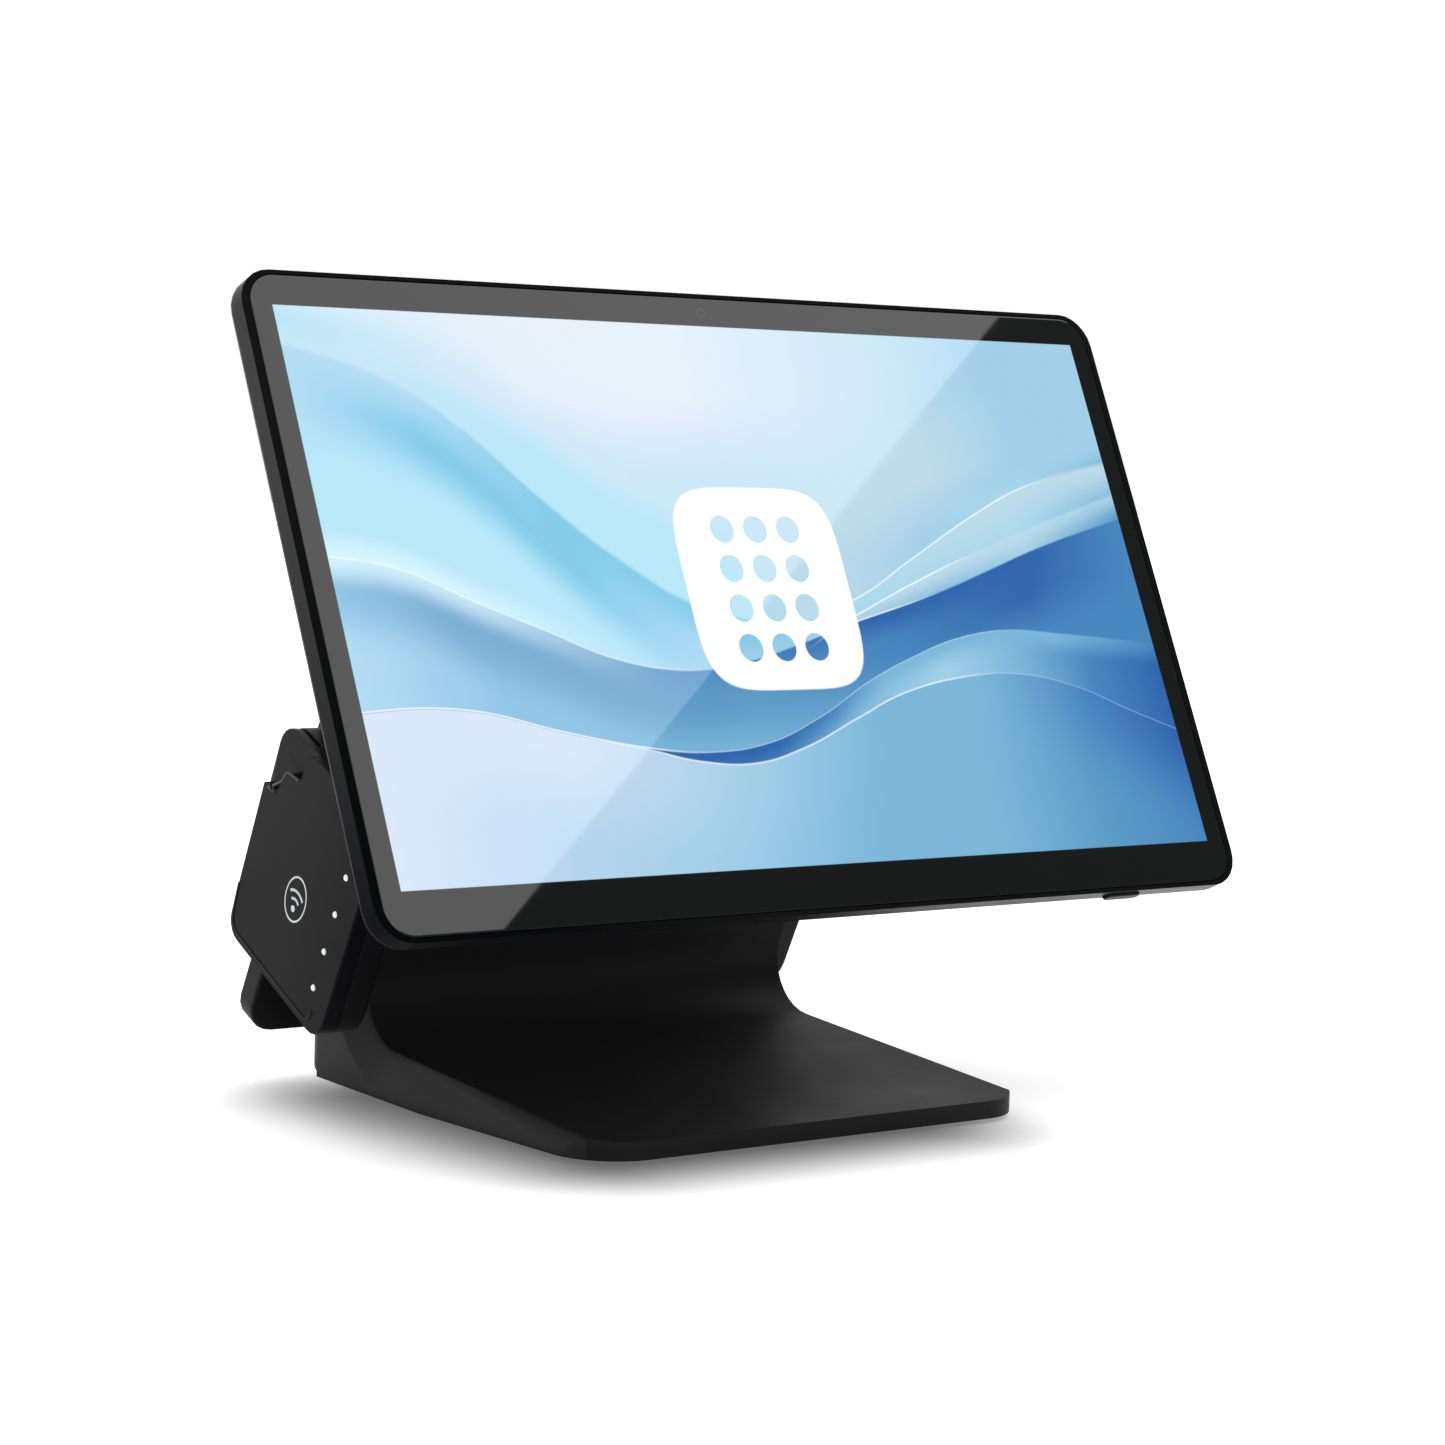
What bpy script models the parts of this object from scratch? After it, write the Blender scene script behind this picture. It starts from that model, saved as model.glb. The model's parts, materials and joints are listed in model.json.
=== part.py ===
"""Countertop touchscreen point-of-sale terminal.

A wide touch display tilts on a hinge at the top of a mast. The mast leans forward out of a thin
wedge-shaped base. A smaller customer display hangs on the back of the mast, and a card reader
hangs beside it on the left. Lengths are in millimetres here and are turned into metres as each
mesh is made. +X is to the user's right, +Y is away from the user and +Z is up.
"""

import math

import bmesh
import bpy
from mathutils import Vector

MM = 0.001
GAP = 0.3

# Driving dimensions -------------------------------------------------------------------------
TILT = 25.0  # the display leans back this far from the vertical
LEAN = 25.0  # the mast leans forward this far from the vertical
HINGE_Y = 11.6
HINGE_Z = 160.0

ACTIVE_W = 344.2  # 15.6 inch panel, 16:9
ACTIVE_H = 193.6
GLASS_SIDE = 7.9
GLASS_TOP = 10.7
GLASS_BOTTOM = 14.8
GLASS_T = 1.8
RIM = 1.7  # the frame above and below the glass
SIDE_RIM = 3.0  # and beside it
RIM_DEPTH = 9.0
HEAD_CORNER = 12.3
HEAD_DEPTH = 38.0
GLASS_TO_HINGE = 62.3
BOTTOM_TO_HINGE = 101.9  # from the lower edge of the picture up to the hinge axis

BASE_HALF_W = 95.3  # along the foot; the sides lean in to the top face
TOP_HALF_W = 91.0
BASE_FRONT = -86.1
BASE_REAR = 83.6
HEEL_R = 12.0
BASE_CORNER = 22.0
SKIRT_FRONT_Z = 1.8
SKIRT_REAR_Z = 4.3
SKIRT_RISE_Y = 12.0  # behind this the lower edge of the sides rises towards the rear
PLATE_Z = 1.4
BASE_FRONT_TOP = 8.0
BASE_SLOPE = 5.2
LEAN_IN = 13.0  # how far the rim of the side faces lies below the top face
SWEEP_R = 20.0
WALL = 2.4
MAST_FRONT = -12.0
MAST_REAR = 6.2
MAST_TOP = -14.0
COVER_LOW = -137.0

CD_HALF_W = 119.3
CD_BOTTOM = -158.9
CD_TOP = 0.3
CD_INNER = 8.9
CD_T = 8.8
CD_CORNER = 11.0

READER_OUTER = -139.0
READER_SPLIT = -132.4
READER_INNER = -121.0
READER_FRONT = -57.5
READER_REAR = 8.9
READER_BOTTOM = -114.3
READER_TOP = -34.2
READER_FRONT_BOTTOM = -117.4
READER_REAR_TOP = 12.4
READER_CORNER = 8.0
SWIPE_SLOT = 1.5
SWIPE_DEPTH = 15.0

SHAFT_R = 4.0
BORE_R = 4.15
KNUCKLE_R = 7.2
ROUND = 32

# Colours: base colour, metallic, roughness ---------------------------------------------------
FINISHES = {
    "shell_black": ((0.016, 0.016, 0.018), 0.0, 0.45),
    "glass_black": ((0.004, 0.004, 0.005), 0.0, 0.05),
    "panel": ((0.30, 0.52, 0.72), 0.0, 0.20),
    "steel": ((0.42, 0.42, 0.43), 1.0, 0.35),
    "aluminium": ((0.70, 0.71, 0.72), 1.0, 0.40),
    "board_green": ((0.02, 0.13, 0.06), 0.0, 0.50),
    "rubber": ((0.02, 0.02, 0.02), 0.0, 0.85),
    "reader_black": ((0.020, 0.020, 0.023), 0.0, 0.30),
    "led_white": ((0.85, 0.90, 0.90), 0.0, 0.25),
    "copper": ((0.75, 0.38, 0.20), 1.0, 0.35),
}


def material(slot):
    found = bpy.data.materials.get(slot)
    if found:
        return found
    colour, metallic, roughness = FINISHES[slot]
    made = bpy.data.materials.new(slot)
    made.use_nodes = True
    shader = made.node_tree.nodes["Principled BSDF"]
    shader.inputs["Base Color"].default_value = (*colour, 1.0)
    shader.inputs["Metallic"].default_value = metallic
    shader.inputs["Roughness"].default_value = roughness
    return made


# Outlines -------------------------------------------------------------------------------------
def arc(cx, cy, radius, start, end, steps):
    """Points on an arc from start to end, in degrees."""
    angles = [math.radians(start + (end - start) * i / steps) for i in range(steps + 1)]
    return [(cx + radius * math.cos(a), cy + radius * math.sin(a)) for a in angles]


def rounded(x0, x1, y0, y1, radius, steps=5):
    """A rectangle with rounded corners; radius is one number or four, from the lower left round."""
    r = radius if isinstance(radius, tuple) else (radius,) * 4
    corners = [
        (x0 + r[0], y0 + r[0], r[0], 180),
        (x1 - r[1], y0 + r[1], r[1], 270),
        (x1 - r[2], y1 - r[2], r[2], 0),
        (x0 + r[3], y1 - r[3], r[3], 90),
    ]
    points = []
    for cx, cy, rc, start in corners:
        points += arc(cx, cy, rc, start, start + 90, steps)
    return points


def rounded_corners(points, radius, inset=0.0, steps=5):
    """A convex outline with rounded corners, moved inwards by less than their radius."""
    outline = []
    for i, point in enumerate(points):
        corner = Vector(point)
        back = (Vector(points[i - 1]) - corner).normalized()
        ahead = (Vector(points[(i + 1) % len(points)]) - corner).normalized()
        half = back.angle(ahead) / 2
        centre = corner + (back + ahead).normalized() * radius / math.sin(half)
        first = corner + back * radius / math.tan(half) - centre
        start = math.degrees(math.atan2(first.y, first.x))
        outline += arc(*centre, radius - inset, start, start + 180 - 2 * math.degrees(half), steps)
    return outline


def circle(cx, cy, radius, steps=ROUND):
    return arc(cx, cy, radius, 0, 360 - 360 / steps, steps - 1)


def thick_line(points, thickness):
    """The outline of a bent strip that follows a polyline, with mitred bends."""
    half = thickness / 2
    line = [Vector(p) for p in points]
    left, right = [], []
    for i, point in enumerate(line):
        before = (point - line[i - 1]).normalized() if i else None
        after = (line[i + 1] - point).normalized() if i + 1 < len(line) else None
        before, after = before or after, after or before
        across = Vector((-(before + after).y, (before + after).x)).normalized()
        reach = half / across.dot(Vector((-before.y, before.x)))
        left.append(tuple(point + across * reach))
        right.append(tuple(point - across * reach))
    return left + right[::-1]


# Solids ---------------------------------------------------------------------------------------
def place(axis, a, b, along):
    """A point from two outline coordinates and the distance along the extrusion axis."""
    return {"X": (along, a, b), "Y": (a, along, b), "Z": (a, b, along)}[axis]


def loft(name, slot, parent, axis, sections):
    """A closed solid through sections of (distance along axis, outline), with flat ends."""
    mesh = bmesh.new()
    loops = [
        [mesh.verts.new(Vector(place(axis, a, b, along)) * MM) for a, b in outline]
        for along, outline in sections
    ]
    count = len(loops[0])
    mesh.faces.new(loops[0])
    mesh.faces.new(loops[-1])
    for low, high in zip(loops, loops[1:]):
        for i in range(count):
            j = (i + 1) % count
            mesh.faces.new((low[i], low[j], high[j], high[i]))
    bmesh.ops.recalc_face_normals(mesh, faces=mesh.faces)
    data = bpy.data.meshes.new(name)
    mesh.to_mesh(data)
    mesh.free()
    data.materials.append(material(slot))
    made = bpy.data.objects.new(name, data)
    bpy.context.scene.collection.objects.link(made)
    made.parent = parent
    return made


def prism(name, slot, parent, axis, outline, start, end):
    return loft(name, slot, parent, axis, [(start, outline), (end, outline)])


def block(name, slot, parent, x, y, z):
    """A box from three (low, high) pairs."""
    corners = [(x[0], z[0]), (x[1], z[0]), (x[1], z[1]), (x[0], z[1])]
    return prism(name, slot, parent, "Y", corners, *y)


def smooth(made, angle=32.0):
    made.data.shade_smooth()
    made.data.set_sharp_from_angle(angle=math.radians(angle))
    return made


def combine(made, operation, *others):
    """A Boolean with each of the others, which are helpers and aren't shown."""
    for other in others:
        modifier = made.modifiers.new(operation.lower(), "BOOLEAN")
        modifier.operation = operation
        modifier.object = other
        other.hide_render = True
        other.display_type = "WIRE"
    return made


def cut(made, *others):
    return combine(made, "DIFFERENCE", *others)


def add(made, *others):
    return combine(made, "UNION", *others)


def screw(name, parent, axis, a, b, start, head_end, shank_end, head_r=2.6, shank_r=1.4):
    """A pan-head screw: the head runs from start to head_end, the shank on to shank_end."""
    sections = [
        (start, circle(a, b, head_r * 0.8, 12)),
        ((start + head_end) / 2, circle(a, b, head_r, 12)),
        (head_end, circle(a, b, head_r, 12)),
        (head_end + math.copysign(0.01, shank_end - head_end), circle(a, b, shank_r, 12)),
        (shank_end, circle(a, b, shank_r, 12)),
    ]
    return smooth(loft(name, "steel", parent, axis, sections))


def empty(name, location, turn):
    made = bpy.data.objects.new(name, None)
    made.location = Vector(location) * MM
    made.rotation_euler = (math.radians(turn), 0, 0)
    bpy.context.scene.collection.objects.link(made)
    return made


# Frames: the head and the mast are both drawn about the hinge axis ---------------------------
def depth(d):
    """Distance behind the front of the glass, as a Y of the head."""
    return d - GLASS_TO_HINGE


def height(h):
    """Distance above the lower edge of the picture, as a Z of the head."""
    return h - BOTTOM_TO_HINGE


def mast_point(y, z):
    """A point of the mast's frame, as (Y, Z) of the whole terminal."""
    c, s = math.cos(math.radians(LEAN)), math.sin(math.radians(LEAN))
    return HINGE_Y + y * c - z * s, HINGE_Z + y * s + z * c


def base_top(y):
    return BASE_FRONT_TOP + (y - BASE_FRONT) * math.tan(math.radians(BASE_SLOPE))


# Stand ----------------------------------------------------------------------------------------
def sweep(offset):
    """The hollow curve from the base's top into the mast's front, moved inwards by offset."""
    slope, lean = math.radians(BASE_SLOPE), math.radians(LEAN)
    radius = SWEEP_R + offset
    y0, z0 = mast_point(MAST_FRONT, 0)
    rise = math.tan(slope)
    down = 1 / math.tan(lean)
    corner_y = (z0 + down * y0 - BASE_FRONT_TOP + rise * BASE_FRONT) / (rise + down)
    reach = SWEEP_R * math.tan((math.pi / 2 + lean - slope) / 2)
    start_y = corner_y - reach * math.cos(slope)
    cy = start_y - SWEEP_R * math.sin(slope)
    cz = base_top(start_y) + SWEEP_R * math.cos(slope)
    return arc(cy, cz, radius, -90 + BASE_SLOPE, LEAN, 10)


def stand_outline(lean_in=0.0):
    """The stand from the side: its full outline, or one whose top face lies further in."""
    front_top = (BASE_FRONT, BASE_FRONT_TOP if lean_in == 0 else SKIRT_FRONT_Z + 1.6)
    mast = [mast_point(MAST_FRONT + lean_in, MAST_TOP), mast_point(MAST_REAR, MAST_TOP)]
    foot = mast_point(MAST_REAR, -154.0)
    heel = arc(BASE_REAR - HEEL_R, SKIRT_REAR_Z + HEEL_R, HEEL_R, 0, -60, 4)
    return [(BASE_FRONT, -8), front_top, *sweep(lean_in), *mast, foot, *heel, (heel[-1][0], -8)]


def below_skirt():
    """What is trimmed off under the sides, whose lower edge rises towards the rear."""
    line = [(BASE_REAR, SKIRT_REAR_Z), (SKIRT_RISE_Y, SKIRT_FRONT_Z)]
    line.append((BASE_FRONT - 5, SKIRT_FRONT_Z))
    return [(BASE_FRONT - 5, -20), (BASE_REAR, -20), *line]


def stand_hollow():
    """The space inside the base, open below, and up the inside of the mast, open behind."""
    front = [(BASE_FRONT + WALL, 0), (BASE_FRONT + WALL, base_top(BASE_FRONT + WALL) - WALL)]
    inner_top = mast_point(MAST_FRONT + WALL, MAST_TOP - WALL)
    behind = [mast_point(MAST_REAR + 3, MAST_TOP - WALL), mast_point(MAST_REAR + 3, COVER_LOW)]
    below = [mast_point(MAST_REAR - WALL, COVER_LOW), mast_point(MAST_REAR - WALL, -150.0)]
    heel = arc(BASE_REAR - HEEL_R, SKIRT_REAR_Z + HEEL_R, HEEL_R - WALL, 0, -60, 4)
    return [*front, *sweep(WALL), inner_top, *behind, *below, *heel, (heel[-1][0], 0)]


def make_stand():
    inside = TOP_HALF_W - WALL
    full, rim = stand_outline(), stand_outline(LEAN_IN)
    sections = [(-BASE_HALF_W, rim), (-TOP_HALF_W, full), (TOP_HALF_W, full), (BASE_HALF_W, rim)]
    shell = loft("stand_shell", "shell_black", None, "X", sections)
    corners = (BASE_CORNER, BASE_CORNER, 6, 6)
    plan = rounded(-BASE_HALF_W, BASE_HALF_W, BASE_FRONT, BASE_REAR + 0.01, corners, 8)
    plan_solid = prism("stand_plan", "shell_black", None, "Z", plan, -10, 170)
    combine(shell, "INTERSECT", plan_solid)
    trim = prism("skirt_trim", "shell_black", None, "X", below_skirt(), -120, 120)
    cut(shell, trim)
    hollow = prism("stand_hollow", "shell_black", None, "X", stand_hollow(), -inside, inside)
    plan_in = rounded(-inside, inside, BASE_FRONT + WALL, 200, (17.6, 17.6, 0.5, 0.5), 8)
    combine(hollow, "INTERSECT", prism("hollow_plan", "shell_black", None, "Z", plan_in, -5, 170))
    cut(shell, hollow)
    for side, x in (("left", -17.5), ("right", 17.5)):
        slot = ((x - 9.5, x + 9.5), (-4.2, 4.2), (MAST_TOP - 5, MAST_TOP + 5))
        cut(shell, block(f"ear_slot_{side}", "shell_black", MAST, *slot))
    smooth(shell)

    cover = rounded(-inside + GAP, inside - GAP, COVER_LOW + GAP, MAST_TOP - WALL - GAP, 3, 3)
    back = prism("mast_back_cover", "shell_black", MAST, "Y", cover, MAST_REAR - WALL, MAST_REAR)
    smooth(back)

    inset = WALL + GAP
    plate = rounded(
        -TOP_HALF_W + inset, TOP_HALF_W - inset, BASE_FRONT + inset, BASE_REAR - 7.6,
        (17.3, 17.3, 4, 4), 8,
    )
    bottom = prism("base_plate", "steel", None, "Z", plate, PLATE_Z, PLATE_Z + 3)
    for i, (x, y) in enumerate(base_screws()):
        cut(bottom, prism(f"plate_hole_{i}", "steel", None, "Z", circle(x, y, 1.7, 12), 0, 8))
        screw(f"base_screw_{i + 1}", None, "Z", x, y, PLATE_Z - 1, PLATE_Z - 0.05, 7.4)
    smooth(bottom)
    for i, (x, y) in enumerate(((-74, -64.4), (74, -64.4), (-78, 55.6), (78, 55.6))):
        sections = [
            (0.0, circle(x, y, 6.4, 20)),
            (0.8, circle(x, y, 7.0, 20)),
            (PLATE_Z - GAP, circle(x, y, 7.0, 20)),
        ]
        smooth(loft(f"foot_{i + 1}", "rubber", None, "Z", sections))


def base_screws():
    return ((-60, -28.4), (60, -28.4), (-60, 41.6), (60, 41.6))


def make_spine():
    """A bent steel strip that carries the hinge: one leaf in the mast and one in the base."""
    line = [(-43.4, 7.6), (69.6, 7.6), mast_point(0, -146), mast_point(0, -18.5)]
    spine = prism("mast_spine", "steel", None, "X", thick_line(line, 3.0), -62, 62)
    for side, x in (("left", -17.5), ("right", 17.5)):
        ear = rounded(-3.4, 3.4, -24, 3.0, 0.5, 1)
        add(spine, prism(f"ear_{side}", "steel", MAST, "X", ear, x - 8.5, x + 8.5))
        add(spine, prism(f"knuckle_{side}", "steel", MAST, "X", circle(0, 0, KNUCKLE_R), x - 8.5, x + 8.5))
    cut(spine, prism("spine_bore", "steel", MAST, "X", circle(0, 0, BORE_R), -40, 40))
    for i, (x, y) in enumerate(base_screws()):
        cut(spine, prism(f"spine_hole_{i}", "steel", None, "Z", circle(x, y, 1.9, 12), 0, 12))
    smooth(spine)

    outer_r, inner_r = KNUCKLE_R + 1.4, KNUCKLE_R + 0.35
    arch = [(-outer_r, MAST_TOP + GAP), *arc(0, 0, outer_r, 180, 0, 12), (outer_r, MAST_TOP + GAP)]
    inner = [(inner_r, MAST_TOP + GAP), *arc(0, 0, inner_r, 0, 180, 12), (-inner_r, MAST_TOP + GAP)]
    smooth(prism("hinge_shroud", "shell_black", MAST, "X", arch + inner, -26.8, 26.8))


# Display head ---------------------------------------------------------------------------------
HEAD_HALF_W = ACTIVE_W / 2 + GLASS_SIDE + SIDE_RIM
HEAD_LOW = -GLASS_BOTTOM - RIM
HEAD_HIGH = ACTIVE_H + GLASS_TOP + RIM
LCD_HALF_W = 175.3
LCD_LOW = -6.5
LCD_HIGH = 198.7
BUTTON_X = 127.6
BUTTON_D = 4.6
BUTTON_HALF_W = 8.1
CAMERA_H = 201.6


def head_outline(half_w, low, high, radius, steps=6):
    return rounded(-half_w, half_w, height(low), height(high), radius, steps)


def make_head_front():
    glass_w = ACTIVE_W / 2 + GLASS_SIDE
    glass = head_outline(glass_w, -GLASS_BOTTOM, ACTIVE_H + GLASS_TOP, HEAD_CORNER - RIM)
    smooth(prism("touch_glass", "glass_black", HEAD, "Y", glass, depth(0), depth(GLASS_T)))

    outline = head_outline(HEAD_HALF_W, HEAD_LOW, HEAD_HIGH, HEAD_CORNER)
    sections = [(depth(0), outline)]
    for d, inset in ((2.2, 0), (1.1, 0.3), (0.3, 1.1), (0, 2.2)):
        eased = head_outline(
            HEAD_HALF_W - inset, HEAD_LOW + inset, HEAD_HIGH - inset, HEAD_CORNER - inset
        )
        sections.append((depth(RIM_DEPTH - d), eased))
    frame = loft("head_frame", "shell_black", HEAD, "Y", sections)
    seat = head_outline(
        glass_w + GAP, -GLASS_BOTTOM - GAP, ACTIVE_H + GLASS_TOP + GAP, HEAD_CORNER - RIM + GAP
    )
    cut(frame, prism("glass_seat", "shell_black", HEAD, "Y", seat, depth(-1), depth(GLASS_T + GAP)))
    through = head_outline(LCD_HALF_W + 0.7, LCD_LOW - 0.7, LCD_HIGH + 0.7, 2, 2)
    cut(frame, prism("panel_window", "shell_black", HEAD, "Y", through, depth(-1), depth(20)))
    button = rounded(
        BUTTON_X - BUTTON_HALF_W - GAP, BUTTON_X + BUTTON_HALF_W + GAP,
        depth(BUTTON_D - 2.6), depth(BUTTON_D + 2.6), 2.5, 4,
    )
    low, high = height(HEAD_LOW - 2), height(LCD_LOW + 1)
    cut(frame, prism("button_hole", "shell_black", HEAD, "Z", button, low, high))
    lens = circle(0, height(CAMERA_H), 2.2, 20)
    cut(frame, prism("camera_seat", "shell_black", HEAD, "Y", lens, depth(-1), depth(8)))
    smooth(frame)

    panel = head_outline(LCD_HALF_W, LCD_LOW, LCD_HIGH, 1, 2)
    smooth(prism("lcd_panel", "panel", HEAD, "Y", panel, depth(GLASS_T + GAP), depth(5.4)))
    smooth(
        prism(
            "camera_module", "glass_black", HEAD, "Y", circle(0, height(CAMERA_H), 1.9, 20),
            depth(GLASS_T + GAP), depth(7.4),
        )
    )
    sheet = head_outline(LCD_HALF_W - 1, LCD_LOW + 1, LCD_HIGH - 1, 3, 2)
    chassis = prism("chassis_plate", "steel", HEAD, "Y", sheet, depth(5.8), depth(7.0))
    for x in (-120, 120):
        slot = rounded(x - 18, x + 18, height(80), height(88), 3.9, 3)
        cut(chassis, prism(f"cable_slot_{x}", "steel", HEAD, "Y", slot, depth(4), depth(9)))
    smooth(chassis)


def cover_sections(wall):
    """The rear cover's outline at each depth, moved inwards by wall."""
    edge = 3.6 + wall
    rim = head_outline(HEAD_HALF_W - edge, HEAD_LOW + edge, HEAD_HIGH - edge, 10, 5)
    shoulder = head_outline(176 - wall, -9.7 + wall, 199.2 - wall, 11, 5)
    brow = head_outline(98 - wall, 10 + wall, 176 - wall, 16, 5)
    back = head_outline(94 - wall, 14 + wall, 172 - wall, 14, 5)
    return rim, shoulder, brow, back


def make_rear_cover():
    rim, shoulder, brow, back = cover_sections(0)
    start = RIM_DEPTH + GAP
    cover = loft(
        "rear_cover", "shell_black", HEAD, "Y",
        [
            (depth(start), rim),
            (depth(start + 1.2), rim),
            (depth(12.8), shoulder),
            (depth(HEAD_DEPTH - 2.6), brow),
            (depth(HEAD_DEPTH), back),
        ],
    )
    rim, shoulder, brow, back = cover_sections(2.6)
    hollow = loft(
        "cover_hollow", "shell_black", HEAD, "Y",
        [
            (depth(start - 2), rim),
            (depth(start + 0.6), rim),
            (depth(11.2), shoulder),
            (depth(HEAD_DEPTH - 4.4), brow),
            (depth(HEAD_DEPTH - 2.4), back),
        ],
    )
    cut(cover, hollow)
    for row, h in enumerate((150, 158, 166)):
        for i in range(8):
            x = -70 + 20 * i
            slot = rounded(x - 7, x + 7, height(h), height(h + 2.6), 1.2, 2)
            cut(cover, prism(f"vent_{row}_{i}", "shell_black", HEAD, "Y", slot, depth(30), depth(45)))
    side = POCKET_W + 2 * GAP
    pocket = ((-side, side), (depth(19), depth(45)), (height(-20), height(21)))
    cut(cover, block("port_pocket", "shell_black", HEAD, *pocket))
    smooth(cover)


PORTS = (
    # name, centre X, width, depth of the mouth, tongue
    ("usb_port_1", -46.0, 13.2, 5.8, True),
    ("usb_port_2", -24.0, 13.2, 5.8, True),
    ("lan_port", 4.0, 15.6, 11.0, False),
    ("display_port", 30.0, 16.0, 5.6, True),
)
DC_X = 52.0
PORT_LOW = 13.0
PORT_HIGH = 27.5
PORT_D = 28.2
POCKET_W = 65.4  # half the width of the pocket's liner


def make_ports():
    """Sockets that face down in a pocket at the foot of the rear cover, with a metal liner."""
    front, back, low, high, sheet = 19.4, 37.4, -3.2, 20.4, 1.2
    bent = [
        (front, low), (front, high), (back, high), (back, high - sheet),
        (front + sheet, high - sheet), (front + sheet, low + sheet),
    ]
    cheek = [(front, low), (front, high), (back, high), (back, 14.5)]
    bracket = prism(
        "port_bracket", "steel", HEAD, "X", [(depth(d), height(h)) for d, h in bent], -POCKET_W, POCKET_W
    )
    for side, s in (("left", -1), ("right", 1)):
        outline = [(depth(d), height(h)) for d, h in cheek]
        ends = (s * (POCKET_W - sheet), s * POCKET_W)
        add(bracket, prism(f"cheek_{side}", "steel", HEAD, "X", outline, *ends))
    for port in PORTS:
        make_port(bracket, *port)
    jack_outline = circle(DC_X, depth(PORT_D), 4.6, 24)
    jack = prism("dc_jack", "shell_black", HEAD, "Z", jack_outline, height(PORT_LOW), height(PORT_HIGH))
    mouth = circle(DC_X, depth(PORT_D), 3.2, 24)
    cut(jack, prism("dc_mouth", "steel", HEAD, "Z", mouth, height(10), height(25)))
    pin = circle(DC_X, depth(PORT_D), 1.0, 10)
    add(jack, prism("dc_pin", "steel", HEAD, "Z", pin, height(14), height(26)))
    smooth(jack)
    seat = circle(DC_X, depth(PORT_D), 4.6 + GAP, 24)
    cut(bracket, prism("dc_seat", "steel", HEAD, "Z", seat, height(10), height(30)))


def make_port(bracket, name, x, width, mouth, has_tongue):
    """One socket: a metal can that is open below, with a contact tongue in it."""
    across = (x - width / 2, x + width / 2)
    through = (depth(PORT_D - mouth / 2), depth(PORT_D + mouth / 2))
    outer_x = (across[0] - 1.2, across[1] + 1.2)
    outer_y = (through[0] - 1.2, through[1] + 1.2)
    port = block(name, "aluminium", HEAD, outer_x, outer_y, (height(PORT_LOW), height(PORT_HIGH)))
    cut(port, block(f"{name}_mouth", "aluminium", HEAD, across, through, (height(10), height(25.5))))
    if has_tongue:
        tongue = ((x - width / 2 + 1.5, x + width / 2 - 1.5), (depth(PORT_D - 0.9), depth(PORT_D + 0.9)))
        add(port, block(f"{name}_tongue", "aluminium", HEAD, *tongue, (height(15), height(26))))
    seat_x = (outer_x[0] - GAP, outer_x[1] + GAP)
    seat_y = (outer_y[0] - GAP, outer_y[1] + GAP)
    cut(bracket, block(f"{name}_seat", "steel", HEAD, seat_x, seat_y, (height(10), height(30))))


def make_electronics():
    board = block(
        "mainboard", "board_green", HEAD, (-84, 84), (depth(15.2), depth(16.8)), (height(34), height(144)),
    )
    for x, h in ((-79, 39), (79, 39), (-79, 139), (79, 139)):
        hole = circle(x, height(h), 1.6, 10)
        cut(board, prism(f"board_hole_{x}_{h}", "steel", HEAD, "Y", hole, depth(10), depth(20)))
    sink_z = (height(70), height(130))
    sink = block("heat_sink", "aluminium", HEAD, (-40, 40), (depth(18.6), depth(21.2)), sink_z)
    foot_z = (height(86), height(114))
    add(sink, block("sink_foot", "aluminium", HEAD, (-14, 14), (depth(17.1), depth(19)), foot_z))
    for i in range(9):
        x = -38 + 9.5 * i
        fin = ((x - 1, x + 1), (depth(21), depth(32)), (height(70.01), height(129.99)))
        add(sink, block(f"fin_{i}", "aluminium", HEAD, *fin))
    drive_z, memory_z = (height(50), height(130)), (height(52), height(119))
    block("storage_drive", "board_green", HEAD, (48, 70), (depth(17.2), depth(20.4)), drive_z)
    block("memory_module", "board_green", HEAD, (-76, -46), (depth(17.2), depth(21.0)), memory_z)
    for side, x in (("left", -118), ("right", 118)):
        driver = rounded(x - 20, x + 20, height(22), height(40), 4, 3)
        smooth(prism(f"speaker_{side}", "shell_black", HEAD, "Y", driver, depth(13.6), depth(20.0)))


def make_power_button():
    outline = rounded(-BUTTON_HALF_W, BUTTON_HALF_W, -2.3, 2.3, 2.2, 4)
    low = HEAD_LOW - 1.0 - BUTTON_LOW
    sections = [
        (low, [(x * 0.96, y * 0.9) for x, y in outline]),
        (low + 0.5, outline),
        (low + 8.0, outline),
    ]
    smooth(loft("power_button", "rubber", BUTTON, "Z", sections))
    block(
        "power_switch", "steel", HEAD, (BUTTON_X - 6, BUTTON_X + 6),
        (depth(BUTTON_D - 2.0), depth(BUTTON_D + 2.0)), (height(-8.4), height(-7.3)),
    )


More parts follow.
